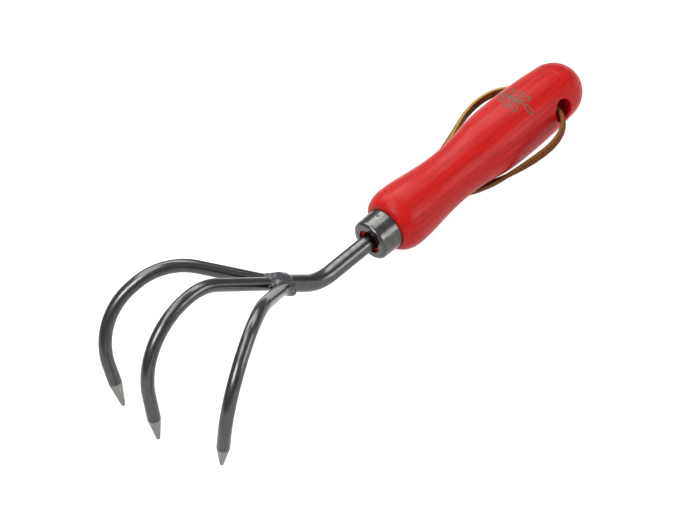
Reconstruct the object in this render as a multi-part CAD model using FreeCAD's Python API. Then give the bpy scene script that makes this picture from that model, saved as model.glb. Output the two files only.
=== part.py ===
"""Hand cultivator: three forged tines welded to a bent shank, in a turned ash handle.

Millimetres. The tool lies at rest: +X runs along the handle towards the tines and +Z is up.
Every piece is first drawn about the tool's own axis, with the datum at the centre of the
ferrule's rear rim, and then lifted on to the floor with the origin under the middle of its length.
"""
import FreeCAD, Part
import math
import os

V = FreeCAD.Vector
X_AXIS = V(1, 0, 0)
Y_AXIS = V(0, 1, 0)
DATUM = V(0, 0, 0)

# Handle: turned ash with two swells and a waist
SHOULDER_RADIUS = 12.0
SHOULDER_DEPTH = 10.5
FRONT_SWELL_RADIUS = 17.4
WAIST_X = -49.0
WAIST_RADIUS = 14.4
REAR_SWELL_X = -95.0
REAR_SWELL_RADIUS = 18.0
BUTT_START_X = -130.5
BUTT_START_RADIUS = 16.1
BUTT_END_X = -147.5
TENON_RADIUS = 10.4
TANG_BORE_RADIUS = 5.2
TANG_BORE_END_X = -70.0

# Cross hole for the hanging lace
HOLE_X = -121.6
HOLE_RADIUS = 6.4
HOLE_EDGE_ROUND = 1.1

# Ferrule: a drawn steel cup
FERRULE_LENGTH = 12.9
FERRULE_REAR_RADIUS = 11.7
FERRULE_FRONT_RADIUS = 11.3
FERRULE_EDGE_ROUND = 1.8
FERRULE_PLATE = 1.6
FERRULE_MOUTH_RADIUS = 6.9
DIMPLE_X = 3.9
DIMPLE_ANGLES = (4.0, 48.5)
DIMPLE_BALL_RADIUS = 1.4
DIMPLE_DEPTH = 0.5

# Shank: one round bar, straight tang and an upward bend
SHANK_RADIUS = 4.6
TANG_END_X = -66.0
TANG_CHAMFER = 2.0
SHANK_CORNER_X = 50.3
SHANK_RISE_ANGLE = 36.7
SHANK_BEND_RADIUS = 28.0
SHANK_RISE_LENGTH = 30.5
ADHESIVE_FRONT_X = 5.0

# Tines: thinner round bar with ground points
TINE_RADIUS = 3.5
TIP_LENGTH = 13.3
TIP_RADIUS = 0.9
CENTRE_TINE_CORNERS = (V(116.8, 0, 49.3), V(161.4, 0, 47.2), V(167.7, 0, -14.2))
CENTRE_TINE_BENDS = (28.0, 39.1)
SIDE_TINE_CORNERS = (
    V(71.7, 4.8, 14.9), V(78.3, 7.0, 20.0), V(112.9, 34.9, 46.7), V(153.1, 50.8, 29.2),
    V(159.8, 37.2, -17.7),
)
SIDE_TINE_BENDS = (20.0, 34.5, 38.9)

# Weld beads
COLLAR_START = -1.0
COLLAR_LENGTH = 5.5
COLLAR_WIDE_RADIUS = 4.6
COLLAR_NARROW_RADIUS = 3.8
RING_RADIUS = 5.9
RING_HALF_LENGTH = 5.0

# Hanging lace: one leather thong, both ends in the knot
LACE_RADIUS = 1.5
CORNER_SHARE = 0.45
LACE_ROUTE = (
    V(-51.0, -15.8, -14.2), V(-52.5, -7.5, -16.3), V(-56.0, 1.0, -16.5), V(-64.5, 6.0, -16.5),
    V(-73.3, 9.4, -16.5), V(-80.8, 16.9, -11.8), V(-88.5, 23.4, -7.0), V(-98.5, 27.3, -3.8),
    V(-109.0, 26.2, -1.6), V(-117.8, 19.8, -0.3), V(-122.0, 9.0, 0.4), V(-123.6, -3.0, 0.5),
    V(-123.4, -14.0, 0.2), V(-120.8, -24.5, -0.8), V(-115.0, -31.2, -2.2), V(-105.5, -34.6, -4.0),
    V(-94.5, -34.2, -5.8), V(-83.0, -31.3, -7.4), V(-71.5, -29.2, -9.4), V(-61.0, -25.8, -11.4),
    V(-52.8, -20.8, -13.1),
)
KNOT_CENTRE = V(-50.0, -19.5, -13.4)
KNOT_RADIUS = 4.4
TAIL_RADIUS = 1.4
TAIL_ENDS = (V(-37.5, -17.3, -16.3), V(-38.5, -24.7, -16.4))


def corner_arc(before, corner, after, trim):
    """Arc that rounds a corner, starting and ending at distance trim from it."""
    to_before = (before - corner).normalize()
    to_after = (after - corner).normalize()
    half_turn = (math.pi - to_before.getAngle(to_after)) / 2
    radius = trim / math.tan(half_turn)
    inward = (to_before + to_after).normalize()
    middle = corner + inward * (radius / math.cos(half_turn) - radius)
    start = corner + to_before * trim
    end = corner + to_after * trim
    return Part.Arc(start, middle, end).toShape(), start, end, radius


def rounded_path(corners, trims):
    """Wire of straight runs joined by tangent arcs, and the arcs' radii."""
    edges = []
    radii = []
    pen = corners[0]
    for index, trim in enumerate(trims, start=1):
        arc, start, end, radius = corner_arc(*corners[index - 1:index + 2], trim)
        edges.append(Part.makeLine(pen, start))
        edges.append(arc)
        radii.append(radius)
        pen = end
    edges.append(Part.makeLine(pen, corners[-1]))
    return Part.Wire(edges), radii


def bend_trims(corners, bend_radii):
    """Distance from each corner to its arc, for given bend radii."""
    trims = []
    for index, radius in enumerate(bend_radii, start=1):
        incoming = corners[index] - corners[index - 1]
        outgoing = corners[index + 1] - corners[index]
        trims.append(radius * math.tan(incoming.getAngle(outgoing) / 2))
    return trims


def round_bar(path, start, direction, radius):
    """Solid round bar swept along a path."""
    section = Part.Wire(Part.makeCircle(radius, start, direction))
    return path.makePipeShell([section], True, False)


def bent_bar(corners, bend_radii, radius):
    """Round bar through the corners, bent to the given radii."""
    path, _ = rounded_path(corners, bend_trims(corners, bend_radii))
    return round_bar(path, corners[0], corners[1] - corners[0], radius)


def turned(edges):
    """Solid of revolution about the tool axis from a closed outline in the XZ plane."""
    return Part.Face(Part.Wire(edges)).revolve(DATUM, X_AXIS, 360)


def polyline(*points):
    """Straight edges through (x, radius) points."""
    vertices = [V(x, 0, radius) for x, radius in points]
    return [Part.makeLine(a, b) for a, b in zip(vertices, vertices[1:])]


def quarter_ellipse(centre_x, centre_radius, along, across, towards):
    """Quarter ellipse from its top point to its end point; towards is +1 or -1 along X."""
    curve = Part.BSplineCurve()
    steps = 8
    points = []
    for step in range(steps + 1):
        angle = math.pi / 2 * step / steps
        x = centre_x + towards * along * math.sin(angle)
        points.append(V(x, 0, centre_radius + across * math.cos(angle)))
    curve.interpolate(Points=points, InitialTangent=V(towards, 0, 0), FinalTangent=V(0, 0, -1))
    return curve.toShape()


def biggest_solid(shape):
    """Largest solid of a cut shape."""
    return max(shape.Solids, key=lambda solid: solid.Volume)


def handle_outline():
    """Outer profile of the handle from the tenon back to the butt."""
    front = quarter_ellipse(-SHOULDER_DEPTH, SHOULDER_RADIUS, SHOULDER_DEPTH,
                            FRONT_SWELL_RADIUS - SHOULDER_RADIUS, 1)
    body = Part.BSplineCurve()
    body.interpolate(
        Points=[
            V(-SHOULDER_DEPTH, 0, FRONT_SWELL_RADIUS),
            V(-28.0, 0, 15.95),
            V(WAIST_X, 0, WAIST_RADIUS),
            V(-66.0, 0, 15.6),
            V(-78.0, 0, 17.35),
            V(REAR_SWELL_X, 0, REAR_SWELL_RADIUS),
            V(BUTT_START_X, 0, BUTT_START_RADIUS),
        ],
        InitialTangent=V(-1, 0, 0), FinalTangent=V(-1, 0, -0.12),
    )
    butt = quarter_ellipse(BUTT_START_X, 0, BUTT_START_X - BUTT_END_X, BUTT_START_RADIUS, -1)
    tenon = polyline((BUTT_END_X, 0), (tenon_end(), 0), (tenon_end(), TENON_RADIUS),
                     (0, TENON_RADIUS), (0, SHOULDER_RADIUS))
    return [*tenon, front, body.toShape(), butt]


def tenon_end():
    """Front face of the tenon, against the ferrule's plate."""
    return FERRULE_LENGTH - FERRULE_PLATE


def cross_hole():
    """Cutter for the lace hole, long enough to pass right through."""
    start = V(HOLE_X, -REAR_SWELL_RADIUS, 0)
    return Part.makeCylinder(HOLE_RADIUS, 2 * REAR_SWELL_RADIUS, start, Y_AXIS)


def make_handle():
    """Turned handle with tenon, tang bore and cross hole."""
    blank = Part.Solid(turned(handle_outline()))
    bore = Part.makeCylinder(TANG_BORE_RADIUS, tenon_end() - TANG_BORE_END_X,
                             V(TANG_BORE_END_X, 0, 0), X_AXIS)
    handle = blank.cut(bore).cut(cross_hole())
    mouths = [edge for edge in handle.Edges if on_hole_mouth(edge)]
    return biggest_solid(handle.makeFillet(HOLE_EDGE_ROUND, mouths))


def on_hole_mouth(edge):
    """True for the two curved edges where the cross hole meets the outside."""
    box = edge.BoundBox
    narrow = box.XLength < 2.2 * HOLE_RADIUS and box.ZLength > 1.5 * HOLE_RADIUS
    return narrow and abs(box.Center.x - HOLE_X) < HOLE_RADIUS and abs(box.Center.y) > TENON_RADIUS


def make_ferrule():
    """Steel cup over the tenon, with two punch dimples that stake it to the wood."""
    face_x = FERRULE_LENGTH
    turn_x = face_x - FERRULE_EDGE_ROUND
    face_radius = FERRULE_FRONT_RADIUS - FERRULE_EDGE_ROUND
    diagonal = FERRULE_EDGE_ROUND * math.sqrt(0.5)
    edge = Part.Arc(V(turn_x, 0, FERRULE_FRONT_RADIUS),
                    V(turn_x + diagonal, 0, face_radius + diagonal),
                    V(face_x, 0, face_radius)).toShape()
    outline = polyline((face_x, face_radius), (face_x, FERRULE_MOUTH_RADIUS),
                       (tenon_end(), FERRULE_MOUTH_RADIUS), (tenon_end(), TENON_RADIUS),
                       (0, TENON_RADIUS), (0, FERRULE_REAR_RADIUS),
                       (turn_x, FERRULE_FRONT_RADIUS))
    cup = Part.Solid(turned([*outline, edge]))
    for angle in DIMPLE_ANGLES:
        reach = FERRULE_REAR_RADIUS + DIMPLE_BALL_RADIUS - DIMPLE_DEPTH
        turn = math.radians(angle)
        ball_centre = V(DIMPLE_X, reach * math.sin(turn), reach * math.cos(turn))
        cup = cup.cut(Part.makeSphere(DIMPLE_BALL_RADIUS, ball_centre))
    return biggest_solid(cup)


def shank_corners():
    """Centre line corners of the shank, from the tang to the weld."""
    rise = math.radians(SHANK_RISE_ANGLE)
    corner = V(SHANK_CORNER_X, 0, 0)
    end = corner + V(math.cos(rise), 0, math.sin(rise)) * SHANK_RISE_LENGTH
    return V(TANG_END_X, 0, 0), corner, end


def make_shank():
    """Bent shank with a chamfered tang end."""
    bar = bent_bar(shank_corners(), (SHANK_BEND_RADIUS,), SHANK_RADIUS)
    tang_edges = [edge for edge in bar.Edges if edge.BoundBox.XMax < TANG_END_X + 0.1]
    return bar.makeChamfer(TANG_CHAMFER, tang_edges)


def make_adhesive():
    """Thin sleeve of adhesive that holds the tang in its bore."""
    length = ADHESIVE_FRONT_X - TANG_END_X - TANG_CHAMFER
    start = V(TANG_END_X + TANG_CHAMFER, 0, 0)
    sleeve = Part.makeCylinder(TANG_BORE_RADIUS, length, start, X_AXIS)
    return sleeve.cut(Part.makeCylinder(SHANK_RADIUS, length, start, X_AXIS))


def make_tine(corners, bend_radii):
    """Bent bar that ends in a ground, slightly blunt point."""
    last_run = (corners[-1] - corners[-2]).normalize()
    tip_start = corners[-1] - last_run * TIP_LENGTH
    bar = bent_bar((*corners[:-1], tip_start), bend_radii, TINE_RADIUS)
    point = Part.makeCone(TINE_RADIUS, TIP_RADIUS, TIP_LENGTH, tip_start, last_run)
    return bar.fuse(point).removeSplitter()


def mirrored(corners):
    """Corners on the other side of the tool."""
    return tuple(V(corner.x, -corner.y, corner.z) for corner in corners)


def make_collar(corners):
    """Weld bead that flares from a side tine on to the shank."""
    direction = (corners[1] - corners[0]).normalize()
    start = corners[0] + direction * COLLAR_START
    return Part.makeCone(COLLAR_WIDE_RADIUS, COLLAR_NARROW_RADIUS, COLLAR_LENGTH, start, direction)


def make_ring(centre, direction):
    """Weld bead round the butt joint of shank and centre tine."""
    start = centre - direction * RING_HALF_LENGTH
    rear = Part.makeCone(SHANK_RADIUS + 0.1, RING_RADIUS, RING_HALF_LENGTH, start, direction)
    front = Part.makeCone(RING_RADIUS, TINE_RADIUS + 0.2, RING_HALF_LENGTH, centre, direction)
    return rear.fuse(front)


def make_head():
    """Tines and weld beads, each trimmed to the pieces it meets."""
    shank = make_shank()
    hub = shank_corners()[-1]
    left_corners = mirrored(SIDE_TINE_CORNERS)
    centre = biggest_solid(make_tine((hub, *CENTRE_TINE_CORNERS), CENTRE_TINE_BENDS).cut(shank))
    sides = [
        biggest_solid(make_tine(corners, SIDE_TINE_BENDS).cut(shank).cut(centre))
        for corners in (left_corners, SIDE_TINE_CORNERS)
    ]
    bars = [shank, centre, *sides]
    rise = math.radians(SHANK_RISE_ANGLE)
    ring = make_ring(hub, V(math.cos(rise), 0, math.sin(rise)))
    ring = biggest_solid(ring.cut(Part.makeCompound(bars)))
    beads = [ring]
    for corners in (left_corners, SIDE_TINE_CORNERS):
        collar = make_collar(corners)
        beads.append(biggest_solid(collar.cut(Part.makeCompound([*bars, *beads]))))
    return {
        "shank": shank,
        "tine_centre": centre,
        "tine_left": sides[1],
        "tine_right": sides[0],
        "weld_centre": ring,
        "weld_left": beads[2],
        "weld_right": beads[1],
    }


def make_knot():
    """Overhand knot as one rounded lump with the lace's two cut tails."""
    knot = Part.makeSphere(KNOT_RADIUS, KNOT_CENTRE)
    for tail_end in TAIL_ENDS:
        run = tail_end - KNOT_CENTRE
        knot = knot.fuse(Part.makeCylinder(TAIL_RADIUS, run.Length, KNOT_CENTRE, run))
    return knot


def make_lace(knot):
    """Leather lace from the knot, through the cross hole and back to the knot."""
    runs = [(b - a).Length for a, b in zip(LACE_ROUTE, LACE_ROUTE[1:])]
    trims = [CORNER_SHARE * min(pair) for pair in zip(runs, runs[1:])]
    path, radii = rounded_path(LACE_ROUTE, trims)
    lace = round_bar(path, LACE_ROUTE[0], LACE_ROUTE[1] - LACE_ROUTE[0], LACE_RADIUS)
    section = math.pi * LACE_RADIUS ** 2
    print("lace arc radii", [round(radius, 1) for radius in radii])
    print("lace length", round(path.Length, 1),
          "tube volume over section x length", round(lace.Volume / (section * path.Length), 4))
    return biggest_solid(lace.cut(knot))


def build_pieces():
    """All pieces about the tool axis, by node name."""
    knot = make_knot()
    pieces = {"handle": make_handle(), "ferrule": make_ferrule(), "tang_adhesive": make_adhesive()}
    pieces.update(make_head())
    pieces.update({"leather_lace": make_lace(knot), "lace_knot": knot})
    return pieces


def main():
    """Build every piece, stand the tool on its origin and write one STEP file each."""
    os.makedirs("parts", exist_ok=True)
    pieces = build_pieces()
    box = Part.makeCompound(list(pieces.values())).optimalBoundingBox(False)
    shift = V(-(box.XMin + box.XMax) / 2, -(box.YMin + box.YMax) / 2, -box.ZMin)
    print("shift", shift, "size", box.XLength, box.YLength, box.ZLength)
    for name, piece in pieces.items():
        piece.translate(shift)
        print(name, "solids", len(piece.Solids), "valid", piece.isValid(), "volume", round(piece.Volume, 1))
        piece.exportStep(f"parts/{name}.step")


main()
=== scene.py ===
import logging
import math
from dataclasses import dataclass
from enum import Enum
from typing import Callable, Sequence

import bmesh
import bpy
from mathutils import Matrix, Quaternion, Vector, noise
from mathutils.bvhtree import BVHTree


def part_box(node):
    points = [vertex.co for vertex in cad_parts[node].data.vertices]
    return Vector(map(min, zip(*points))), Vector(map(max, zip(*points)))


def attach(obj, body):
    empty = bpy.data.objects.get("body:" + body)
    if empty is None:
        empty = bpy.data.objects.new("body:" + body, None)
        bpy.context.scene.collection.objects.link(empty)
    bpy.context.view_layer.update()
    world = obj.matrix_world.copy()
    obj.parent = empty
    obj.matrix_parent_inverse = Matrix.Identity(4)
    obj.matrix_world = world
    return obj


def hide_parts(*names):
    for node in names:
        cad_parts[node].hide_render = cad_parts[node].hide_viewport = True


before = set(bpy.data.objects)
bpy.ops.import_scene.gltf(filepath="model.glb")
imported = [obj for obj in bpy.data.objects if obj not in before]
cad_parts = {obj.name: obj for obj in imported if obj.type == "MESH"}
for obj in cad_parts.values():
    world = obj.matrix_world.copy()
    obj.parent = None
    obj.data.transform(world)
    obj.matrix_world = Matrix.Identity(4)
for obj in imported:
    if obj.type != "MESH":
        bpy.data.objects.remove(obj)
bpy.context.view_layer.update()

LOG = logging.getLogger("cultivator")
MM = 0.001
UP = Vector((0, 0, 1))
LAMP_AIM = Vector((0.03, 0.0, 0.03))

Point = tuple[float, float, float]
Colour = tuple[float, float, float, float]

TOOL = "tool"
LOOP = "hanging_loop"


def tool_datum() -> Vector:
    """Find the centre of the ferrule's rear rim, which every piece is drawn from.

    Returns:
        The datum point in the row frame, in metres.
    """
    low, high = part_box("ferrule")
    return Vector((low[0], 0.0, (low[2] + high[2]) / 2))


DATUM = tool_datum()


def at(x: float, y: float, z: float) -> Vector:
    """Turn millimetres from the datum into a point in the row frame."""
    return DATUM + Vector((x, y, z)) * MM


class Spread(Enum):
    """Which way a noise pattern is drawn out."""

    EVEN = (1.0, 1.0, 1.0)
    ALONG_HANDLE = (0.035, 1.0, 1.0)
    ALONG_BAR = (0.03, 1.0, 1.0)
    ROUND_HANDLE = (1.0, 0.03, 0.03)
    PORES = (0.11, 1.0, 1.0)


class Paint:
    """A material under construction, with short calls for the nodes that the finishes use."""

    def __init__(self, name: str) -> None:
        """Start a material that holds one shader.

        Args:
            name: The material's name.
        """
        self.material = bpy.data.materials.new(name)
        self.material.use_nodes = True
        self.tree = self.material.node_tree
        self.shader = self.tree.nodes["Principled BSDF"]

    def node(self, kind: str, inputs: dict | None = None, **settings: object) -> bpy.types.Node:
        """Add a node.

        Args:
            kind: The node's type.
            inputs: Values or output sockets for its inputs, by name or number.
            settings: Properties of the node itself.

        Returns:
            The new node.
        """
        made = self.tree.nodes.new(kind)
        for key, value in settings.items():
            setattr(made, key, value)
        for key, value in (inputs or {}).items():
            self.feed(made.inputs[key], value)
        return made

    def feed(self, socket: bpy.types.NodeSocket, value: object) -> None:
        """Link an output socket to an input, or set the input's value."""
        if isinstance(value, bpy.types.NodeSocket):
            self.tree.links.new(value, socket)
        else:
            socket.default_value = value

    def set(self, **inputs: object) -> None:
        """Feed the shader's inputs, with underscores for the spaces in their names."""
        for key, value in inputs.items():
            self.feed(self.shader.inputs[key.replace("_", " ")], value)

    def place(self, spread: Spread = Spread.EVEN, uv: bool = False) -> bpy.types.NodeSocket:
        """Give the pattern's coordinates.

        Args:
            spread: How the pattern is drawn out.
            uv: True to follow a bar or strip along its length instead of the row frame.

        Returns:
            The coordinate socket.
        """
        source = self.node("ShaderNodeTexCoord")
        wanted = source.outputs["UV" if uv else "Object"]
        return self.node("ShaderNodeMapping", {"Vector": wanted, "Scale": spread.value}).outputs[0]

    def cloud(self, place: bpy.types.NodeSocket, scale: float, detail: float = 3.0,
              roughness: float = 0.55, warp: float = 0.0) -> bpy.types.NodeSocket:
        """Add a soft noise.

        Args:
            place: The coordinates.
            scale: Features per metre.
            detail: How many finer layers are added.
            roughness: How strong the finer layers are.
            warp: How far the pattern is distorted.

        Returns:
            The noise value, from 0 to 1.
        """
        inputs = {"Vector": place, "Scale": scale, "Detail": detail,
                  "Roughness": roughness, "Distortion": warp}
        return self.node("ShaderNodeTexNoise", inputs).outputs["Fac"]

    def math(self, operation: str, first: object, second: object = 0.0) -> bpy.types.NodeSocket:
        """Combine two values with an arithmetic operation."""
        return self.node("ShaderNodeMath", {0: first, 1: second}, operation=operation).outputs[0]

    def remap(self, value: bpy.types.NodeSocket, low: float, high: float,
              to_low: float = 0.0, to_high: float = 1.0) -> bpy.types.NodeSocket:
        """Stretch a value from one range to another, without going past its ends."""
        inputs = {"Value": value, "From Min": low, "From Max": high,
                  "To Min": to_low, "To Max": to_high}
        return self.node("ShaderNodeMapRange", inputs).outputs[0]

    def blend(self, amount: object, first: object, second: object) -> bpy.types.NodeSocket:
        """Mix two colours.

        Args:
            amount: How much of the second colour shows.
            first: The colour underneath.
            second: The colour on top.

        Returns:
            The mixed colour.
        """
        made = self.node("ShaderNodeMix", data_type="RGBA")
        self.feed(made.inputs[0], amount)
        self.feed(made.inputs[6], first)
        self.feed(made.inputs[7], second)
        return made.outputs[2]

    def bump(self, height: bpy.types.NodeSocket, depth: float) -> None:
        """Give the surface a fine relief of the given depth in metres."""
        made = self.node("ShaderNodeBump", {"Strength": 1.0, "Distance": depth, "Height": height})
        self.set(Normal=made.outputs[0])


@dataclass(frozen=True)
class RedAsh:
    """Ash with a red stain and a satin varnish, its pores in rows along the growth rings."""

    light: Colour = (0.35, 0.0045, 0.0030, 1)
    deep: Colour = (0.27, 0.0020, 0.0015, 1)
    pore: Colour = (0.060, 0.0012, 0.0012, 1)
    pith: Point = (0.0, 0.052, -0.046)
    rings_per_metre: float = 330.0

    def make(self) -> bpy.types.Material:
        """Build the material."""
        paint = Paint("red_ash")
        grain = paint.place(Spread.ALONG_HANDLE)
        early = paint.remap(self.ring_phase(paint), 0.45, 0.05)
        dashes = paint.cloud(paint.place(Spread.PORES), 2100.0, 1.0, 0.5)
        fine = paint.cloud(paint.place(Spread.PORES), 3600.0, 1.0, 0.5)
        in_rows = paint.math("MULTIPLY", paint.remap(dashes, 0.54, 0.66), early)
        scattered = paint.math("MULTIPLY", paint.remap(fine, 0.60, 0.72), 0.4)
        pores = paint.math("MAXIMUM", in_rows, scattered)
        streaks = paint.cloud(grain, 420.0, 4.0, 0.6, 0.2)
        tone = paint.math("ADD", paint.math("MULTIPLY", early, 0.2), paint.remap(streaks, 0.35, 0.7))
        colour = paint.blend(tone, self.light, self.deep)
        colour = paint.blend(paint.math("MULTIPLY", pores, 0.6), colour, self.pore)
        roughness = paint.remap(streaks, 0.3, 0.7, 0.34, 0.44)
        roughness = paint.math("ADD", roughness, paint.math("MULTIPLY", pores, 0.15))
        paint.set(Base_Color=colour, Roughness=roughness, Specular_IOR_Level=0.12,
                  Coat_Weight=0.08, Coat_Roughness=0.20)
        relief = paint.math("SUBTRACT", paint.math("MULTIPLY", streaks, 0.35), pores)
        paint.bump(relief, 0.00005)
        return paint.material

    def ring_phase(self, paint: Paint) -> bpy.types.NodeSocket:
        """Place inside the growth ring, from 0 at its start to 1 at its end."""
        grain = paint.place(Spread.ALONG_HANDLE)
        flat = paint.node("ShaderNodeVectorMath", {0: paint.place(), 1: (0.0, 1.0, 1.0)},
                          operation="MULTIPLY").outputs[0]
        reach = paint.node("ShaderNodeVectorMath", {0: flat, 1: self.pith}, operation="DISTANCE")
        wander = paint.math("MULTIPLY", paint.cloud(grain, 90.0, 2.0), 0.006)
        distance = paint.math("ADD", reach.outputs["Value"], wander)
        return paint.math("FRACT", paint.math("MULTIPLY", distance, self.rings_per_metre))


@dataclass(frozen=True)
class DarkSteel:
    """Bare steel, rubbed along a bar or round the ferrule, with heat colours near a weld.

    Attributes:
        smooth: Roughness of the smoothest patches.
        rough: Roughness of the roughest patches.
        spread: Which way the rubbing runs.
        weld: Middle of the weld that heated the steel, in metres, if any.
        tint_reach: About how far the heat colours reach, in metres.
    """

    name: str = "dark_steel"
    light: Colour = (0.090, 0.090, 0.091, 1)
    dark: Colour = (0.064, 0.064, 0.066, 1)
    straw: Colour = (0.088, 0.070, 0.062, 1)
    blue: Colour = (0.065, 0.070, 0.084, 1)
    smooth: float = 0.20
    rough: float = 0.26
    spread: Spread = Spread.ALONG_BAR
    weld: Point | None = None
    tint_reach: float = 0.017

    def make(self) -> bpy.types.Material:
        """Build the material."""
        paint = Paint(self.name)
        along = paint.place(self.spread, uv=self.spread is Spread.ALONG_BAR)
        place = paint.place()
        rubbed = paint.cloud(along, 900.0, 3.0, 0.6)
        mottled = paint.cloud(place, 260.0, 4.0, 0.65, 0.4)
        colour = paint.blend(paint.remap(mottled, 0.32, 0.7), self.light, self.dark)
        colour = paint.blend(paint.remap(rubbed, 0.45, 0.75, 0.0, 0.5), colour, self.dark)
        if self.weld is not None:
            colour = self.heat_tint(paint, colour, place)
        specks = paint.cloud(place, 2100.0, 2.0, 0.6)
        roughness = paint.remap(mottled, 0.3, 0.75, self.smooth, self.rough)
        roughness = paint.math("ADD", roughness, paint.remap(specks, 0.6, 0.75, 0.0, 0.05))
        paint.set(Base_Color=colour, Metallic=1.0, Roughness=roughness)
        relief = paint.math("ADD", rubbed, paint.math("MULTIPLY", specks, 0.5))
        paint.bump(relief, 0.000003)
        return paint.material

    def heat_tint(self, paint: Paint, colour: bpy.types.NodeSocket,
                  place: bpy.types.NodeSocket) -> bpy.types.NodeSocket:
        """Lay straw and blue heat colours round the weld.

        Args:
            paint: The material under construction.
            colour: The steel's own colour.
            place: The coordinates.

        Returns:
            The tinted colour.
        """
        reach = paint.node("ShaderNodeVectorMath", {0: place, 1: self.weld}, operation="DISTANCE")
        wander = paint.math("MULTIPLY", paint.cloud(place, 300.0, 3.0), 0.010)
        distance = paint.math("ADD", reach.outputs["Value"], wander)
        blue = paint.remap(distance, self.tint_reach * 0.8, self.tint_reach * 0.45)
        straw = paint.remap(distance, self.tint_reach * 1.25, self.tint_reach * 0.7)
        colour = paint.blend(paint.math("MULTIPLY", straw, 0.45), colour, self.straw)
        return paint.blend(paint.math("MULTIPLY", blue, 0.35), colour, self.blue)


@dataclass(frozen=True)
class GroundSteel:
    """Freshly ground steel: lighter and matt, with grinding lines along the point."""

    light: Colour = (0.24, 0.24, 0.225, 1)
    dark: Colour = (0.15, 0.15, 0.14, 1)

    def make(self) -> bpy.types.Material:
        """Build the material."""
        paint = Paint("ground_point")
        place = paint.place()
        lines = paint.cloud(paint.place(Spread.ALONG_BAR, uv=True), 2600.0, 2.0, 0.6)
        clouds = paint.cloud(place, 500.0, 3.0)
        colour = paint.blend(paint.remap(lines, 0.35, 0.7), self.light, self.dark)
        colour = paint.blend(paint.remap(clouds, 0.5, 0.8, 0.0, 0.4), colour, self.dark)
        paint.set(Base_Color=colour, Metallic=1.0, Roughness=paint.remap(clouds, 0.3, 0.7, 0.42, 0.56))
        paint.bump(lines, 0.00003)
        return paint.material


@dataclass(frozen=True)
class WeldMetal:
    """Weld metal as it cooled: dark blue-grey oxide with barer and brown patches."""

    oxide: Colour = (0.056, 0.058, 0.064, 1)
    bare: Colour = (0.090, 0.091, 0.098, 1)
    brown: Colour = (0.080, 0.042, 0.034, 1)

    def make(self) -> bpy.types.Material:
        """Build the material."""
        paint = Paint("weld_metal")
        place = paint.place()
        patches = paint.cloud(place, 420.0, 4.0, 0.6, 0.8)
        burnt = paint.cloud(place, 230.0, 2.0, 0.5)
        grit = paint.cloud(place, 2400.0, 3.0, 0.6)
        colour = paint.blend(paint.remap(patches, 0.42, 0.62), self.oxide, self.bare)
        colour = paint.blend(paint.remap(burnt, 0.56, 0.68, 0.0, 0.6), colour, self.brown)
        roughness = paint.remap(patches, 0.35, 0.65, 0.46, 0.34)
        paint.set(Base_Color=colour, Metallic=0.9, Roughness=roughness)
        paint.bump(paint.math("ADD", grit, patches), 0.00001)
        return paint.material


@dataclass(frozen=True)
class Leather:
    """One side of a leather thong: the finished face or the raw cut edge.

    Attributes:
        smooth: Roughness where the surface is smoothest.
        grain: Fibre features per metre.
        spread: Which way the fibres are drawn out.
        depth: Depth of the relief, in metres.
        painted_shade: Painted shade, a darker colour laid over the cut edge on the tool's left side, where
            less light falls, if any.
    """

    name: str
    light: Colour
    dark: Colour
    smooth: float
    grain: float
    spread: Spread
    depth: float
    painted_shade: Colour | None = None

    def make(self) -> bpy.types.Material:
        """Build the material."""
        paint = Paint(self.name)
        place = paint.place()
        fibre = paint.cloud(paint.place(self.spread, uv=True), self.grain, 4.0, 0.65, 0.3)
        patches = paint.cloud(place, 170.0, 3.0, 0.6)
        cells = paint.node("ShaderNodeTexVoronoi", {"Vector": place, "Scale": 2300.0}).outputs[0]
        colour = paint.blend(paint.remap(fibre, 0.35, 0.68), self.light, self.dark)
        colour = paint.blend(paint.remap(patches, 0.45, 0.75, 0.0, 0.5), colour, self.dark)
        # Painted shade: the cut edge turns darker towards the tool's left side, where less light falls on
        # it.
        if self.painted_shade:
            side = paint.node("ShaderNodeSeparateXYZ", {"Vector": place}).outputs["Y"]
            colour = paint.blend(paint.remap(side, -0.020, 0.0, 0.0, 0.9), colour, self.painted_shade)
        paint.set(Base_Color=colour, Roughness=paint.remap(fibre, 0.3, 0.7, self.smooth, self.smooth + 0.2),
                  Specular_IOR_Level=0.12)
        paint.bump(paint.math("ADD", fibre, paint.math("MULTIPLY", cells, 0.5)), self.depth)
        return paint.material


@dataclass(frozen=True)
class Plain:
    """A quiet finish of two close colours, for hidden or small pieces."""

    name: str
    light: Colour
    dark: Colour
    scale: float
    roughness: float

    def make(self) -> bpy.types.Material:
        """Build the material."""
        paint = Paint(self.name)
        patches = paint.cloud(paint.place(), self.scale, 3.0)
        paint.set(Base_Color=paint.blend(paint.remap(patches, 0.35, 0.65), self.light, self.dark),
                  Roughness=self.roughness)
        paint.bump(patches, 0.00002)
        return paint.material


def new_object(name: str, mesh: bpy.types.Mesh, materials: Sequence[bpy.types.Material],
               body: str) -> bpy.types.Object:
    """Put a finished mesh into the scene.

    Args:
        name: The piece's name.
        mesh: Its mesh, in the row frame.
        materials: Its materials, in slot order.
        body: The body that it moves with.

    Returns:
        The new object.
    """
    piece = bpy.data.objects.new(name, mesh)
    bpy.context.scene.collection.objects.link(piece)
    for material in materials:
        mesh.materials.append(material)
    mesh.polygons.foreach_set("use_smooth", [True] * len(mesh.polygons))
    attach(piece, body)
    return piece


def dress(node: str, material: bpy.types.Material) -> None:
    """Give a carried-over CAD node its material."""
    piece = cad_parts[node]
    for slot in piece.material_slots:
        slot.material = material
    LOG.info("%s keeps its CAD shape", node)


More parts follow.
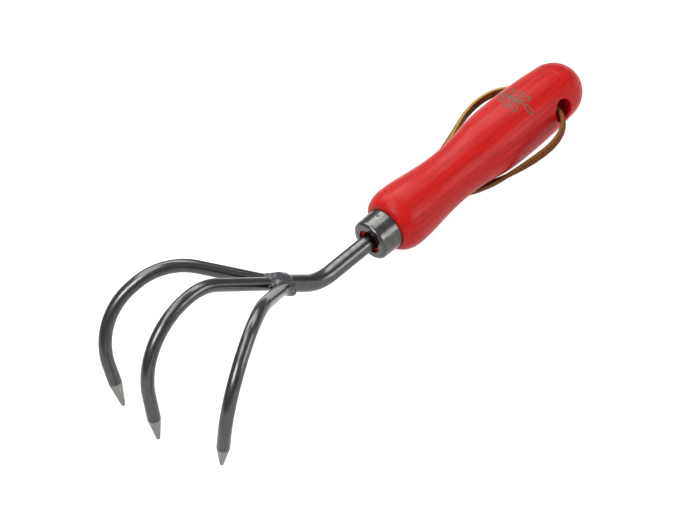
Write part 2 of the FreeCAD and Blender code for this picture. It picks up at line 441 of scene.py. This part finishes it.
def carried_frames(points: Sequence[Vector], side: Vector) -> list[tuple[Vector, Vector, Vector]]:
    """Carry a side direction along a path without twisting it.

    Args:
        points: The path.
        side: Roughly the side direction at the start.

    Returns:
        A (tangent, side, other side) triple for each point.
    """
    frames = []
    last = len(points) - 1
    for index in range(last + 1):
        tangent = (points[min(index + 1, last)] - points[max(index - 1, 0)]).normalized()
        side = (side - tangent * side.dot(tangent)).normalized()
        frames.append((tangent, side, tangent.cross(side)))
    return frames


def skin(rings: Sequence[Sequence[Vector]], lengths: Sequence[float],
         slot_of: Callable[[int, int], int]) -> bpy.types.Mesh:
    """Cover a row of rings with quads and shut its two ends.

    Args:
        rings: Rings of points, all with the same count.
        lengths: Distance of each ring along the piece, in metres, for the lengthwise coordinate.
        slot_of: Material slot for a face, from its ring number and its place in the ring.

    Returns:
        The mesh, with a coordinate layer that runs along and around it in metres.
    """
    built = bmesh.new()
    layer = built.loops.layers.uv.new("UVMap")
    verts = [[built.verts.new(point) for point in ring] for ring in rings]
    count = len(rings[0])
    girth = sum((rings[0][k] - rings[0][k - 1]).length for k in range(count))
    for row in range(len(rings) - 1):
        for k in range(count):
            after = (k + 1) % count
            face = built.faces.new((verts[row][k], verts[row][after],
                                    verts[row + 1][after], verts[row + 1][k]))
            corners = ((row, k), (row, k + 1), (row + 1, k + 1), (row + 1, k))
            for loop, (line, turn) in zip(face.loops, corners):
                loop[layer].uv = (lengths[line], girth * turn / count)
            face.material_index = slot_of(row, k)
    for row, order in ((0, -1), (len(rings) - 1, 1)):
        face = built.faces.new(verts[row][::order])
        face.material_index = slot_of(min(row, len(rings) - 2), 0)
        for loop in face.loops:
            loop[layer].uv = (lengths[row], 0.0)
    bmesh.ops.recalc_face_normals(built, faces=built.faces)
    mesh = bpy.data.meshes.new("skin")
    built.to_mesh(mesh)
    built.free()
    return mesh


def distances(points: Sequence[Vector]) -> list[float]:
    """Distance of each point along a path, in metres."""
    walked = [0.0]
    for before, after in zip(points, points[1:]):
        walked.append(walked[-1] + (after - before).length)
    return walked


@dataclass
class BentBar:
    """A round bar bent at its corners.

    Attributes:
        corners: Corners of the centre line, in millimetres from the datum.
        bends: Bend radius at each inner corner, in millimetres.
        radius: The bar's radius in millimetres.
        point_length: Length of the ground point, or 0 for a plain end, in millimetres.
        point_radius: Radius of the point's blunt end, in millimetres.
        seed: Shift of the surface's small unevenness.
        step: Distance between rings of the mesh, in millimetres.
        sides: Points in each ring.
        uneven: Height of the small unevenness, in millimetres.
    """

    corners: Sequence[Point]
    bends: Sequence[float]
    radius: float
    point_length: float = 0.0
    point_radius: float = 0.9
    seed: float = 0.0
    step: float = 0.55
    sides: int = 40
    uneven: float = 0.02

    def line(self) -> list[Vector]:
        """Walk the centre line in even steps.

        Returns:
            Points in the row frame.
        """
        corners = [at(*corner) for corner in self.corners]
        key_points = [corners[0]]
        for index, bend in enumerate(self.bends, start=1):
            key_points += self.arc(*corners[index - 1:index + 2], bend * MM)
        key_points.append(corners[-1])
        walked = distances(key_points)
        steps = math.ceil(walked[-1] / (self.step * MM))
        points = []
        place = 0
        for number in range(steps + 1):
            wanted = walked[-1] * number / steps
            while place < len(walked) - 2 and walked[place + 1] < wanted:
                place += 1
            share = (wanted - walked[place]) / (walked[place + 1] - walked[place])
            points.append(key_points[place].lerp(key_points[place + 1], share))
        return points

    def arc(self, before: Vector, corner: Vector, after: Vector, bend: float) -> list[Vector]:
        """Points on the arc that rounds one corner.

        Args:
            before: The corner before.
            corner: The corner itself.
            after: The corner after.
            bend: The bend's radius in metres.

        Returns:
            Points from the arc's start to its end.
        """
        back = (before - corner).normalized()
        ahead = (after - corner).normalized()
        turn = math.pi - back.angle(ahead)
        start = corner + back * bend * math.tan(turn / 2)
        axis = back.cross(ahead).normalized()
        inward = back.cross(axis).normalized()
        if inward.dot(ahead) < 0:
            inward = -inward
        centre = start + inward * bend
        turns = [Quaternion(axis, -turn * k / 48) for k in range(49)]
        if (centre + turns[-1] @ (start - centre) - corner).normalized().dot(ahead) < 0.999:
            turns = [turned.inverted() for turned in turns]
        return [centre + turned @ (start - centre) for turned in turns]

    def mesh(self) -> bpy.types.Mesh:
        """Sweep the bar and grind its point.

        Returns:
            The mesh, with slot 0 on the bar and slot 1 on the ground point.
        """
        points = self.line()
        walked = distances(points)
        ground_from = walked[-1] - self.point_length * MM if self.point_length else math.inf
        rings = []
        for point, (tangent, side, other), along in zip(points, carried_frames(points, UP), walked):
            ring = []
            size = self.size_at(walked[-1] - along)
            for k in range(self.sides):
                turn = 2 * math.pi * k / self.sides
                outward = side * math.cos(turn) + other * math.sin(turn)
                spot = point + outward * size
                rise = noise.noise(spot * 160.0 + Vector((self.seed, 0, 0))) * self.uneven * MM
                ring.append(spot + outward * rise)
            rings.append(ring)
        return skin(rings, walked, slot_of=lambda row, _: int(walked[row] >= ground_from))

    def size_at(self, to_end: float) -> float:
        """Radius of the bar in metres, at a distance in metres from its end."""
        full = self.radius * MM
        if not self.point_length:
            return full
        share = to_end / (self.point_length * MM)
        cone = (self.point_radius + (self.radius - self.point_radius) * share) * MM
        blunt = self.point_radius * MM
        if to_end < blunt:
            return max(cone * math.sqrt(1 - (1 - to_end / blunt) ** 2), 0.15 * MM)
        return min(cone, full)


@dataclass
class Head:
    """Shank, three tines and the welds that join them, in millimetres from the datum.

    Attributes:
        hub: Where the shank ends and the tines meet it.
        root_balls: Weld balls at a side tine's root, each a distance ahead of its middle and a radius.
        ripples: Number of weld ripples round a side tine's root.
        ripple_ring: Radius of the ring that the ripples lie on.
        ripple_back: How far that ring is behind the root's middle.
        ripple_radius: Radius of one ripple.
        hub_balls: Weld balls at the hub, each the x, y and z of its middle and its radius.
        melt: Size of the grid that melts the balls of a bead together.
    """

    shank_radius: float = 4.6
    tine_radius: float = 3.5
    hub: Point = (74.75, 0.0, 18.2)
    shank_corners: Sequence[Point] = (
        (-66.0, 0.0, 0.0), (50.3, 0.0, 0.0), (74.75, 0.0, 18.2))
    shank_bends: Sequence[float] = (28.0,)
    centre_corners: Sequence[Point] = (
        (72.7, 0.0, 16.7), (116.8, 0.0, 49.3), (161.4, 0.0, 47.2), (167.7, 0.0, -14.2))
    centre_bends: Sequence[float] = (28.0, 39.1)
    side_corners: Sequence[Point] = (
        (71.7, 4.8, 14.9), (78.3, 7.0, 20.0), (112.9, 34.9, 46.7), (153.1, 50.8, 29.2),
        (159.8, 37.2, -17.7))
    side_bends: Sequence[float] = (20.0, 34.5, 38.9)
    point_length: float = 13.3
    root_balls: Sequence[tuple[float, float]] = ((0.0, 3.7), (2.0, 3.8), (4.0, 3.6))
    ripples: int = 18
    ripple_ring: float = 3.3
    ripple_back: float = 1.0
    ripple_radius: float = 0.9
    hub_balls: Sequence[tuple[float, float, float, float]] = (
        (69.8, 0.0, 14.7, 4.9), (71.8, 0.4, 16.8, 5.4), (74.0, 0.4, 18.7, 5.5),
        (76.2, 0.0, 20.4, 5.0), (78.2, 0.0, 21.8, 4.2), (73.2, 3.0, 17.6, 4.3),
        (73.2, -3.0, 17.6, 4.3), (76.6, 4.2, 20.0, 3.8), (76.6, -4.2, 20.0, 3.8),
        (79.6, 3.6, 21.6, 2.4), (79.6, -3.6, 21.6, 2.4), (82.2, 4.2, 23.6, 1.1),
        (82.2, -4.2, 23.6, 1.1), (84.6, -4.8, 25.4, 0.8), (79.4, 3.7, 18.6, 1.2))
    melt: float = 0.28

    def build(self) -> None:
        """Make and dress every piece of the head."""
        weld_place = at(*self.hub)
        steel = DarkSteel(weld=tuple(weld_place)).make()
        ground = GroundSteel().make()
        weld = WeldMetal().make()
        shank = BentBar(self.shank_corners, self.shank_bends, self.shank_radius, seed=3.0)
        self.place_bar("bent_shank", "shank", shank, steel, ground)
        centre = BentBar(self.centre_corners, self.centre_bends, self.tine_radius,
                         self.point_length, seed=7.0)
        self.place_bar("centre_tine", "tine_centre", centre, steel, ground)
        for name, sign, seed in (("left", 1, 11.0), ("right", -1, 17.0)):
            corners = [(x, sign * y, z) for x, y, z in self.side_corners]
            tine = BentBar(corners, self.side_bends, self.tine_radius, self.point_length, seed=seed)
            self.place_bar(f"{name}_tine", f"tine_{name}", tine, steel, ground)
            root, ahead = at(*corners[0]), at(*corners[1])
            self.place_weld(f"{name}_weld", f"weld_{name}", self.root_bead(root, ahead, seed), weld)
        self.place_weld("centre_weld", "weld_centre", self.hub_bead(), weld)

    def place_bar(self, name: str, node: str, bar: BentBar, steel: bpy.types.Material,
                  ground: bpy.types.Material) -> None:
        """Put a bar into the scene in place of its CAD node."""
        piece = new_object(name, bar.mesh(), (steel, ground), TOOL)
        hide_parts(node)
        LOG.info("%s stands for %s", name, node)

    def root_bead(self, root: Vector, ahead: Vector, seed: float) -> list[tuple[Vector, float]]:
        """Round a side tine's root off and run ripples round it.

        Args:
            root: The middle of the tine's root.
            ahead: A point further along the tine.
            seed: Shift of the ripples' small differences.

        Returns:
            The bead's balls of weld metal, each a middle and a radius in metres.
        """
        axis = (ahead - root).normalized()
        side = axis.orthogonal().normalized()
        balls = [(root + axis * step * MM, radius * MM) for step, radius in self.root_balls]
        for k in range(self.ripples):
            spread = side.copy()
            spread.rotate(Quaternion(axis, 2 * math.pi * k / self.ripples))
            wobble = noise.noise(Vector((seed, k * 0.7, 0)))
            out, back = self.ripple_ring + 0.2 * wobble, self.ripple_back - 0.4 * wobble
            balls.append((root + (spread * out - axis * back) * MM,
                          (self.ripple_radius + 0.2 * wobble) * MM))
        return balls

    def hub_bead(self) -> list[tuple[Vector, float]]:
        """Fill the hollows where the three tines meet the shank.

        Returns:
            The bead's balls of weld metal, each a middle and a radius in metres.
        """
        return [(at(x, y, z), radius * MM) for x, y, z, radius in self.hub_balls]

    def place_weld(self, name: str, node: str, balls: Sequence[tuple[Vector, float]],
                   weld: bpy.types.Material) -> None:
        """Melt balls of weld metal into one bead.

        Args:
            name: The piece's name.
            node: The CAD node that it stands for.
            balls: The middle and radius of each ball, in metres.
            weld: The material.
        """
        built = bmesh.new()
        for centre, radius in balls:
            self.lump(built, centre, radius)
        mesh = bpy.data.meshes.new(name)
        built.to_mesh(mesh)
        built.free()
        piece = new_object(name, mesh, (weld,), TOOL)
        remesh = piece.modifiers.new("melt", "REMESH")
        remesh.mode = "VOXEL"
        remesh.voxel_size = self.melt * MM
        remesh.use_smooth_shade = True
        settle = piece.modifiers.new("settle", "SMOOTH")
        settle.factor = 0.5
        settle.iterations = 5
        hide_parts(node)
        LOG.info("%s stands for %s", name, node)

    def lump(self, built: bmesh.types.BMesh, centre: Vector, radius: float) -> None:
        """Add one ball of weld metal."""
        bmesh.ops.create_icosphere(built, subdivisions=3, radius=radius,
                                   matrix=Matrix.Translation(centre))


@dataclass
class Handle:
    """Turned handle, its ferrule, the adhesive in its bore and the burnt sprig on its top.

    Attributes:
        sprig_x: Middle of the sprig along the handle, in millimetres from the datum.
        sprig_angle: How far round from the top the sprig's middle is, in degrees.
        sprig_radius: Radius of the handle at the sprig, in millimetres.
        line_width: Width of a burnt line, in millimetres.
        line_rise: Height of a burnt line's crown, in millimetres.
        stem_from: Where the stem starts across the handle, in millimetres.
        stem_length: Length of the stem, in millimetres.
        stem_bow: How far the stem's middle bows, in millimetres.
        leaf_length: Length of a leaf of size 1, in millimetres.
        leaf_half: Half the width of a leaf of size 1, in millimetres.
        leaf_lean: Angle between a leaf and the stem, in degrees.
        leaf_size: Factor on the size of every leaf.
        leaf_pairs: Place across the handle and size of each pair of leaves.
        end_leaf: Place and size of the leaf at the stem's end.
    """

    sprig_x: float = -101.5
    sprig_angle: float = 7.0
    sprig_radius: float = 17.8
    line_width: float = 0.95
    line_rise: float = 0.03
    stem_from: float = -12.0
    stem_length: float = 19.0
    stem_bow: float = 1.1
    leaf_length: float = 6.4
    leaf_half: float = 1.25
    leaf_lean: float = 52.0
    leaf_size: float = 1.35
    leaf_pairs: Sequence[tuple[float, float]] = ((-9.0, 0.85), (-3.6, 1.0), (1.6, 0.95))
    end_leaf: tuple[float, float] = (6.6, 0.8)

    def build(self) -> None:
        """Dress the handle's pieces and burn the sprig."""
        dress("handle", RedAsh().make())
        ferrule = DarkSteel(name="ferrule_steel", light=(0.105, 0.105, 0.101, 1),
                            dark=(0.055, 0.055, 0.053, 1), smooth=0.18, rough=0.27,
                            spread=Spread.ROUND_HANDLE)
        dress("ferrule", ferrule.make())
        dress("tang_adhesive", Plain("dark_adhesive", (0.05, 0.010, 0.009, 1),
                                     (0.02, 0.006, 0.005, 1), 900.0, 0.5).make())
        self.burn_sprig()

    def burn_sprig(self) -> None:
        """Draw the sprig's outlines on the handle's surface."""
        surface = self.surface()
        built = bmesh.new()
        for outline in self.sprig():
            self.burn_line(built, surface, outline)
        mesh = bpy.data.meshes.new("burnt_sprig")
        built.to_mesh(mesh)
        built.free()
        middle = Plain("scorched_wood", (0.15, 0.080, 0.022, 1), (0.09, 0.038, 0.011, 1), 900.0, 0.6)
        rim = Plain("charred_wood", (0.045, 0.005, 0.003, 1), (0.020, 0.003, 0.002, 1), 900.0, 0.6)
        new_object("burnt_sprig", mesh, (middle.make(), rim.make()), TOOL)
        LOG.info("burnt_sprig lies on handle")

    def surface(self) -> BVHTree:
        """The handle's surface, for finding points on it."""
        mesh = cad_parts["handle"].data
        return BVHTree.FromPolygons([v.co for v in mesh.vertices], [p.vertices for p in mesh.polygons])

    def sprig(self) -> list[list[tuple[float, float]]]:
        """Outline a stem with paired leaves, in millimetres across and along the handle.

        Returns:
            One list of (across, along) points for each drawn line.
        """
        lines = [[(self.stem_from + self.stem_length * k / 30, self.bow(k / 30)) for k in range(31)]]
        for across, size in self.leaf_pairs:
            for sign in (-1, 1):
                lines.append(self.leaf(across, sign, size * self.leaf_size))
        across, size = self.end_leaf
        lines.append(self.leaf(across, 0, size * self.leaf_size))
        return lines

    def bow(self, share: float) -> float:
        """Offset of the bowed stem, at a share of its length."""
        return self.stem_bow * math.sin(share * math.pi)

    def leaf(self, across: float, sign: int, size: float) -> list[tuple[float, float]]:
        """Outline one pointed leaf.

        Args:
            across: Where it leaves the stem, in millimetres.
            sign: Which side of the stem it is on, or 0 for the leaf at the stem's end.
            size: Its size, where 1 makes it leaf_length long.

        Returns:
            The closed outline.
        """
        lean = sign * math.radians(self.leaf_lean)
        length = self.leaf_length * size
        stem = self.bow((across - self.stem_from) / self.stem_length) if sign else 0.1
        outline = []
        for k in range(41):
            share = k / 20 if k <= 20 else (40 - k) / 20
            half = math.sin(share * math.pi) ** 0.8 * self.leaf_half * size * (1 if k <= 20 else -1)
            x, y = 0.6 + share * length, half
            outline.append((across + x * math.cos(lean) - y * math.sin(lean),
                            stem + x * math.sin(lean) + y * math.cos(lean)))
        return outline

    def burn_line(self, built: bmesh.types.BMesh, surface: BVHTree,
                  outline: Sequence[tuple[float, float]]) -> None:
        """Lay one thin, slightly crowned line on the handle.

        Args:
            built: The mesh under construction.
            surface: The handle's surface.
            outline: The line's (across, along) points, in millimetres.
        """
        spots = [self.on_surface(surface, *point) for point in outline]
        rows = []
        for index, (spot, normal) in enumerate(spots):
            before = spots[max(index - 1, 0)][0]
            after = spots[min(index + 1, len(spots) - 1)][0]
            side = normal.cross((after - before).normalized()).normalized()
            width = self.line_width * (1 + 0.25 * noise.noise(spot * 900.0)) * MM / 2
            row = []
            for share, rise in ((-1, 0.4), (-0.5, 1.0), (0.5, 1.0), (1, 0.4)):
                place = spot + side * width * share + normal * self.line_rise * rise * MM
                row.append(built.verts.new(place))
            rows.append(row)
        for first, second in zip(rows, rows[1:]):
            for k in range(3):
                face = built.faces.new((first[k], first[k + 1], second[k + 1], second[k]))
                face.material_index = abs(k - 1)

    def on_surface(self, surface: BVHTree, across: float, along: float) -> tuple[Vector, Vector]:
        """Find a point of the sprig on the handle.

        Args:
            surface: The handle's surface.
            across: Distance round the handle from the sprig's middle, in millimetres.
            along: Distance along the handle from the sprig's middle, in millimetres.

        Returns:
            The point and the surface's normal there.
        """
        turn = math.radians(self.sprig_angle) + across / self.sprig_radius
        outward = Vector((0, math.sin(turn), math.cos(turn)))
        start = at(self.sprig_x + along, 0, 0) + outward * 40 * MM
        spot, _, _, _ = surface.ray_cast(start, -outward)
        return spot, outward


@dataclass
class Lace:
    """Flat leather thong through the cross hole, and the knot that joins its ends.

    Attributes:
        width: Width of the thong, in millimetres.
        thickness: Its thickness, in millimetres.
        length: Its real length, in millimetres; not used.
        route: Points that its middle line follows, in millimetres from the datum.
        knot: Middle of the knot, from the datum too.
        tails: Cut ends of the thong's two tails, from the datum too.
        knot_scale: Size of the knot's loops.
        knot_squeeze: How far the thong is pressed together in the knot, where 1 is not at all.
        flat_until: Share of the length up to which the thong lies flat under the handle.
        upright_from: Share from which it stands on edge.
        tilt_from: Share from which it starts to lean over again.
        tilt_until: Share at which it leans fully.
        tilt: The full lean, in radians.
    """

    width: float = 4.2
    thickness: float = 2.5
    length: float = 211.6
    route: Sequence[Point] = (
        (-51.0, -15.8, -14.2), (-52.5, -7.5, -16.3), (-56.0, 1.0, -16.5), (-64.5, 6.0, -16.5),
        (-73.3, 9.4, -16.5), (-80.8, 16.9, -11.8), (-88.5, 23.4, -7.0), (-98.5, 27.3, -3.8),
        (-109.0, 26.2, -1.6), (-117.8, 19.8, -0.3), (-122.0, 9.0, 0.4), (-123.6, -3.0, 0.5),
        (-123.4, -14.0, 0.2), (-120.8, -24.5, -0.8), (-115.0, -31.2, -2.2), (-105.5, -34.6, -4.0),
        (-94.5, -34.2, -5.8), (-83.0, -31.3, -7.4), (-71.5, -29.2, -9.4), (-61.0, -25.8, -11.4),
        (-52.8, -20.8, -13.1))
    knot: Point = (-50.0, -19.5, -13.4)
    tails: Sequence[Point] = ((-37.5, -17.3, -16.3), (-38.5, -24.7, -16.4))
    knot_scale: float = 0.86
    knot_squeeze: float = 0.8
    flat_until: float = 0.10
    upright_from: float = 0.33
    tilt_from: float = 0.74
    tilt_until: float = 0.93
    tilt: float = -0.75

    def build(self) -> None:
        face = Leather("leather_face", (0.130, 0.034, 0.004, 1), (0.050, 0.011, 0.002, 1),
                       0.55, 700.0, Spread.EVEN, 0.00005).make()
        # The cut edge's last colour is painted shade for its stretch on the tool's left side.
        edge = Leather("leather_edge", (0.38, 0.24, 0.060, 1), (0.22, 0.12, 0.026, 1),
                       0.62, 1500.0, Spread.ALONG_BAR, 0.00010, (0.100, 0.034, 0.004, 1)).make()
        points = self.centre_line()
        walked = distances(points)
        twists = [self.twist(along / walked[-1]) for along in walked]
        lace = new_object("hanging_lace", self.strip(points, twists), (face, edge), LOOP)
        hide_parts("leather_lace")
        knot = new_object("tied_knot", self.knot_mesh(), (face, edge), LOOP)
        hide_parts("lace_knot")
        LOG.info("hanging_lace stands for leather_lace and is %.1f mm long", walked[-1] / MM)
        LOG.info("tied_knot stands for lace_knot")

    def centre_line(self) -> list[Vector]:
        """Points on the smooth spline through the lace's middle."""
        curve = bpy.data.curves.new("lace_line", "CURVE")
        curve.dimensions = "3D"
        spline = curve.splines.new("NURBS")
        spline.points.add(len(self.route) - 1)
        for point, place in zip(spline.points, self.route):
            point.co = (*at(*place), 1.0)
        spline.order_u = 3
        spline.use_endpoint_u = True
        spline.resolution_u = 16
        bare = bpy.data.objects.new("lace_line", curve)
        bpy.context.scene.collection.objects.link(bare)
        mesh = bpy.data.meshes.new_from_object(bare)
        points = [vertex.co.copy() for vertex in mesh.vertices]
        bpy.data.objects.remove(bare)
        return points

    def twist(self, share: float) -> float:
        """Turn of the strip, in radians: flat under the handle, then on edge, leaning at its end."""
        raised = self.eased(share, self.flat_until, self.upright_from)
        tilted = self.eased(share, self.tilt_from, self.tilt_until)
        return math.pi / 2 * (1 - raised) + self.tilt * tilted

    def eased(self, share: float, start: float, end: float) -> float:
        """Rise smoothly from 0 at the start to 1 at the end."""
        span = min(max((share - start) / (end - start), 0.0), 1.0)
        return span * span * (3 - 2 * span)

    def strip(self, points: Sequence[Vector], twists: Sequence[float],
              squeeze: float = 1.0) -> bpy.types.Mesh:
        """Sweep the thong's section along a path.

        Args:
            points: The path.
            twists: The turn of the section at each point, where 0 is on edge.
            squeeze: How far the section is pressed together, where 1 is not at all.

        Returns:
            The mesh, with slot 0 on the faces and slot 1 on the cut edges.
        """
        rings = []
        for point, twist in zip(points, twists):
            index = len(rings)
            ahead = points[min(index + 1, len(points) - 1)]
            behind = points[max(index - 1, 0)]
            tangent = (ahead - behind).normalized()
            tall = (UP - tangent * UP.dot(tangent)).normalized()
            tall.rotate(Quaternion(tangent, twist))
            thick = tangent.cross(tall)
            rings.append([point + (tall * a + thick * b) * squeeze for a, b in self.section(point)])
        count = len(rings[0])
        return skin(rings, distances(points), slot_of=lambda _, k: int(self.is_edge(k, count)))

    def section(self, point: Vector) -> list[tuple[float, float]]:
        """Rounded oblong section of the thong, slightly uneven along its length."""
        tall = self.width / 2 * (1 + 0.03 * noise.noise(point * 220.0)) * MM
        thick = self.thickness / 2 * (1 + 0.05 * noise.noise(point * 350.0 + UP)) * MM
        outline = []
        for k in range(32):
            turn = 2 * math.pi * (k + 0.5) / 32
            a, b = math.cos(turn), math.sin(turn)
            outline.append((tall * math.copysign(abs(a) ** 0.32, a),
                            thick * math.copysign(abs(b) ** 0.42, b)))
        return outline

    def is_edge(self, k: int, count: int) -> bool:
        """True where a face of the section is on one of the two cut edges."""
        turn = 2 * math.pi * (k + 1) / count
        return abs(math.sin(turn)) < 0.30

    def knot_mesh(self) -> bpy.types.Mesh:
        """Overhand knot with two cut tails."""
        centre = at(*self.knot)
        towards = (at(*self.tails[0]) + at(*self.tails[1])) / 2 - centre
        turn = towards.to_track_quat("Z", "Y")
        loop = []
        for k in range(97):
            angle = 2 * math.pi * k / 96
            spot = Vector((math.sin(angle) + 2 * math.sin(2 * angle),
                           math.cos(angle) - 2 * math.cos(2 * angle), -1.3 * math.sin(3 * angle)))
            loop.append(centre + turn @ (spot * self.knot_scale * MM))
        joined = bmesh.new()
        joined.from_mesh(self.strip(loop, [0.6] * len(loop), self.knot_squeeze))
        for tail in self.tails:
            end = at(*tail)
            bend = centre.lerp(end, 0.5) + Vector((0, 0, 0.6 * MM))
            path = [centre.lerp(bend, k / 12).lerp(bend.lerp(end, k / 12), k / 12) for k in range(13)]
            joined.from_mesh(self.strip(path, [math.pi / 2] * len(path)))
        mesh = bpy.data.meshes.new("tied_knot")
        joined.to_mesh(mesh)
        joined.free()
        return mesh


@dataclass(frozen=True)
class Softbox:
    """A large soft lamp aimed at the tool.

    Attributes:
        name: The lamp's name.
        azimuth: Compass angle in degrees, 0 on the -Y side and 90 on the +X side.
        elevation: Height above the floor in degrees.
        distance: Distance in metres.
        size: Width and height in metres.
        power: Power in watts.
    """

    name: str
    azimuth: float
    elevation: float
    distance: float
    size: tuple[float, float]
    power: float

    def hang(self) -> None:
        """Put the lamp into the scene."""
        lamp = bpy.data.lights.new(self.name, "AREA")
        lamp.shape = "RECTANGLE"
        lamp.size, lamp.size_y = self.size
        lamp.energy = self.power
        stand = bpy.data.objects.new(self.name, lamp)
        out = direction(self.azimuth, self.elevation)
        stand.location = LAMP_AIM + out * self.distance
        stand.rotation_euler = (-out).to_track_quat("-Z", "Y").to_euler()
        bpy.context.scene.collection.objects.link(stand)


def direction(azimuth: float, elevation: float) -> Vector:
    """Unit vector from the tool towards a compass angle and height, in degrees."""
    a, e = math.radians(azimuth), math.radians(elevation)
    return Vector((math.sin(a) * math.cos(e), -math.cos(a) * math.cos(e), math.sin(e)))


@dataclass
class Studio:
    """Pale floor, soft light and the camera.

    Attributes:
        azimuth: Compass angle of the camera, counted as a lamp's is.
        elevation: Height of the camera above the floor, in degrees.
        roll: Tilt of the camera about its line of sight, in degrees.
        distance: Distance from the camera to what it aims at, in metres.
        aim: The point that it aims at, in millimetres from the datum.
        lens: Focal length in millimetres.
        floor_half: Half the side of the floor, in metres.
        glow: Strength of the floor's own light.
        wall_light: Strength of the air's light at the horizon and below.
        ceiling_light: Strength of the air's light overhead.
    """

    azimuth: float = 144.82
    elevation: float = 39.355
    roll: float = -15.05
    distance: float = 1.3620
    aim: Point = (42.13, 11.16, 12.0)
    lens: float = 142.42
    floor_half: float = 3.0
    glow: float = 0.92
    wall_light: float = 0.42
    ceiling_light: float = 0.60

    def build(self) -> None:
        """Make the floor, the lamps and the camera."""
        self.lay_floor()
        for lamp in (
            Softbox("top_softbox", -24.0, 50.0, 1.1, (0.95, 0.50), 8.0),
            Softbox("side_softbox", 206.0, 15.0, 1.1, (0.70, 0.45), 5.0),
            Softbox("key_softbox", 100.0, 47.0, 1.2, (0.60, 0.45), 9.5),
            Softbox("overhead_softbox", 60.0, 76.0, 1.3, (0.80, 0.70), 8.5),
            Softbox("left_softbox", 278.0, 56.0, 1.2, (0.60, 0.50), 4.0),
        ):
            lamp.hang()
        self.fill_air()
        bpy.context.scene.view_settings.view_transform = "Standard"
        self.aim_camera()

    def fill_air(self) -> None:
        """Surround the floor with a pale wall that lightens towards the ceiling."""
        world = bpy.data.worlds.new("studio_air")
        bpy.context.scene.world = world
        world.use_nodes = True
        tree = world.node_tree
        air = tree.nodes["Background"]
        place = tree.nodes.new("ShaderNodeTexCoord")
        height = tree.nodes.new("ShaderNodeSeparateXYZ")
        shade = tree.nodes.new("ShaderNodeMapRange")
        shade.interpolation_type = "SMOOTHSTEP"
        for name, value in (("From Min", 0.05), ("From Max", 0.55),
                            ("To Min", self.wall_light), ("To Max", self.ceiling_light)):
            shade.inputs[name].default_value = value
        tree.links.new(place.outputs["Generated"], height.inputs[0])
        tree.links.new(height.outputs["Z"], shade.inputs["Value"])
        tree.links.new(shade.outputs[0], air.inputs["Strength"])
        air.inputs["Color"].default_value = (1, 1, 1, 1)

    def lay_floor(self) -> None:
        """Lay a plain pale floor at the tool's lowest height."""
        half = self.floor_half
        mesh = bpy.data.meshes.new("pale_floor")
        mesh.from_pydata([(-half, -half, 0), (half, -half, 0), (half, half, 0), (-half, half, 0)],
                         [], [(0, 1, 2, 3)])
        floor = bpy.data.objects.new("pale_floor", mesh)
        bpy.context.scene.collection.objects.link(floor)
        card = Plain("floor_card", (0.22, 0.22, 0.22, 1), (0.21, 0.21, 0.21, 1), 3.0, 0.9).make()
        sockets = card.node_tree.nodes["Principled BSDF"].inputs
        sockets["Emission Color"].default_value = (1, 1, 1, 1)
        sockets["Emission Strength"].default_value = self.glow
        mesh.materials.append(card)

    def aim_camera(self) -> None:
        """Set the camera at its angle, tilted about its own line of sight."""
        lens = bpy.data.cameras.new("camera")
        lens.lens = self.lens
        camera = bpy.data.objects.new("camera", lens)
        out = direction(self.azimuth, self.elevation)
        camera.location = at(*self.aim) + out * self.distance
        level = (-out).to_track_quat("-Z", "Y")
        tilt = Quaternion((0, 0, 1), math.radians(self.roll))
        camera.rotation_mode = "QUATERNION"
        camera.rotation_quaternion = level @ tilt
        bpy.context.scene.collection.objects.link(camera)
        bpy.context.scene.camera = camera


def main() -> None:
    """Build the studio and every piece of the tool."""
    logging.basicConfig(level=logging.INFO)
    Studio().build()
    Lace().build()
    Handle().build()
    Head().build()


if __name__ == "__main__":
    main()
